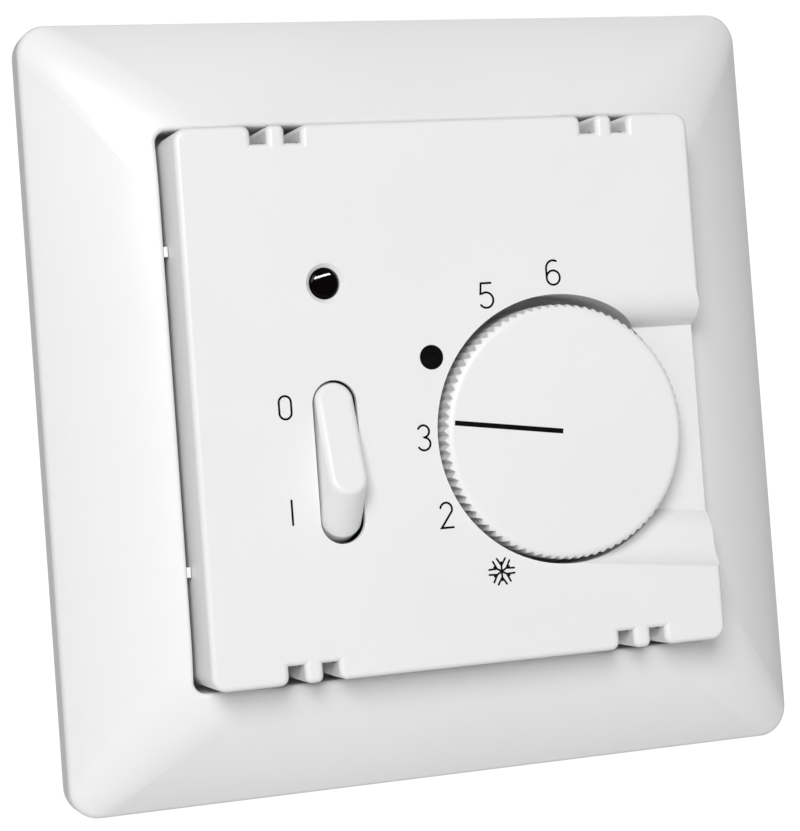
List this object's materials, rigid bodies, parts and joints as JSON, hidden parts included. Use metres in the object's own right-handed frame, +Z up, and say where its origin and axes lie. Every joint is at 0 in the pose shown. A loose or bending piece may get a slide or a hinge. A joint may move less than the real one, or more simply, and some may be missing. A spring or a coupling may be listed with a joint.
{
  "type": "wall thermostat",
  "caption": "Square flush room thermostat: domed cover frame, raised centre cover with a knurled dial in a thumb recess, rocker switch, indicator lamp and wall box insert.",
  "frame": {"origin": "on the wall's surface, at the centre of the fixing screw pattern", "axes": "+X to the right and +Z up, both seen from the room; +Y into the wall, so the front faces -Y"},
  "size_m": [0.08, 0.0448, 0.08],
  "materials": {
    "frame_white": "satin",
    "cover_white": "satin",
    "dial_white": "satin",
    "lens_black": "polished",
    "lamp_glass": "clear, with a warm tint",
    "tinned_wire": "tinned",
    "zinc_steel": "zinc plated",
    "housing_grey": "fine matt texture",
    "ring_blue": "satin",
    "ring_red": "satin",
    "natural_nylon": "satin",
    "board_green": "solder resist over glass fibre",
    "resistor_body": "lacquered",
    "capacitor_yellow": "moulded",
    "brass": "stamped",
    "cage_steel": "nickel plated",
    "bimetal": "rolled strip",
    "contact_silver": "silver",
    "magnet_dark": "sintered"
  },
  "bodies": {
    "housing": {"cover_frame": "frame_white", "front_cover": "cover_white", "min_range_ring": "ring_blue", "max_range_ring": "ring_red", "friction_washer": "zinc_steel", "cover_screw": "zinc_steel", "rocker_bracket": "natural_nylon", "rocker_pin": "zinc_steel", "switch_fulcrum": "brass", "switch_contact": "brass", "lamp_lens": "lens_black", "indicator_lamp": "lamp_glass", "lamp_leads": "tinned_wire", "support_plate": "zinc_steel", "plate_screws": "zinc_steel", "base_housing": "housing_grey", "rear_cover": "housing_grey", "circuit_board": "board_green", "board_screws": "zinc_steel", "feedback_resistor": "resistor_body", "lamp_resistor": "resistor_body", "setback_resistor": "resistor_body", "suppression_capacitor": "capacitor_yellow", "lever_pin": "zinc_steel", "bimetal_bracket": "brass", "calibration_screw": "zinc_steel", "terminal_block": "housing_grey", "terminal_cages": "cage_steel", "terminal_screws": "zinc_steel", "terminal_tabs": "brass"},
    "dial": {"dial": "dial_white", "setpoint_spindle": "natural_nylon"},
    "setting_lever": {"setting_lever": "natural_nylon", "lever_contact": "contact_silver", "magnet": "magnet_dark"},
    "bimetal": {"bimetal_strip": "bimetal", "moving_contact": "contact_silver", "armature": "bimetal"},
    "rocker": {"rocker": "dial_white"},
    "switch_blade": {"switch_blade": "brass"}
  },
  "joints": [
    {"name": "dial_turn", "type": "hinge", "parent": "housing", "child": "dial", "pos_m": [0.0109, -0.0155, -0.0048], "axis": [0, 1, 0], "range_deg": [-68, 82]},
    {"name": "lever_swing", "type": "hinge", "parent": "housing", "child": "setting_lever", "pos_m": [-0.0046, -0.0062, 0.0027], "axis": [0, 1, 0], "range_deg": [-4.6, 3.8]},
    {"name": "bimetal_flex", "type": "hinge", "parent": "housing", "child": "bimetal", "pos_m": [-0.0074, -0.00845, 0.0223], "axis": [0, 1, 0], "range_deg": [-1, 1], "stiffness_Nm_per_rad": 0.05},
    {"name": "rocker_tilt", "type": "hinge", "parent": "housing", "child": "rocker", "pos_m": [-0.01315, -0.0105, -0.0061], "axis": [1, 0, 0], "range_deg": [0, 39.7]},
    {"name": "blade_tilt", "type": "hinge", "parent": "housing", "child": "switch_blade", "pos_m": [-0.01315, -0.0063, -0.0061], "axis": [1, 0, 0], "range_deg": [-12.1, 0]}
  ],
  "couplings": [
    {"joint": "lever_swing", "follows": "dial_turn", "ratio": -0.0542},
    {"joint": "blade_tilt", "follows": "rocker_tilt", "ratio": -0.30227}
  ]
}
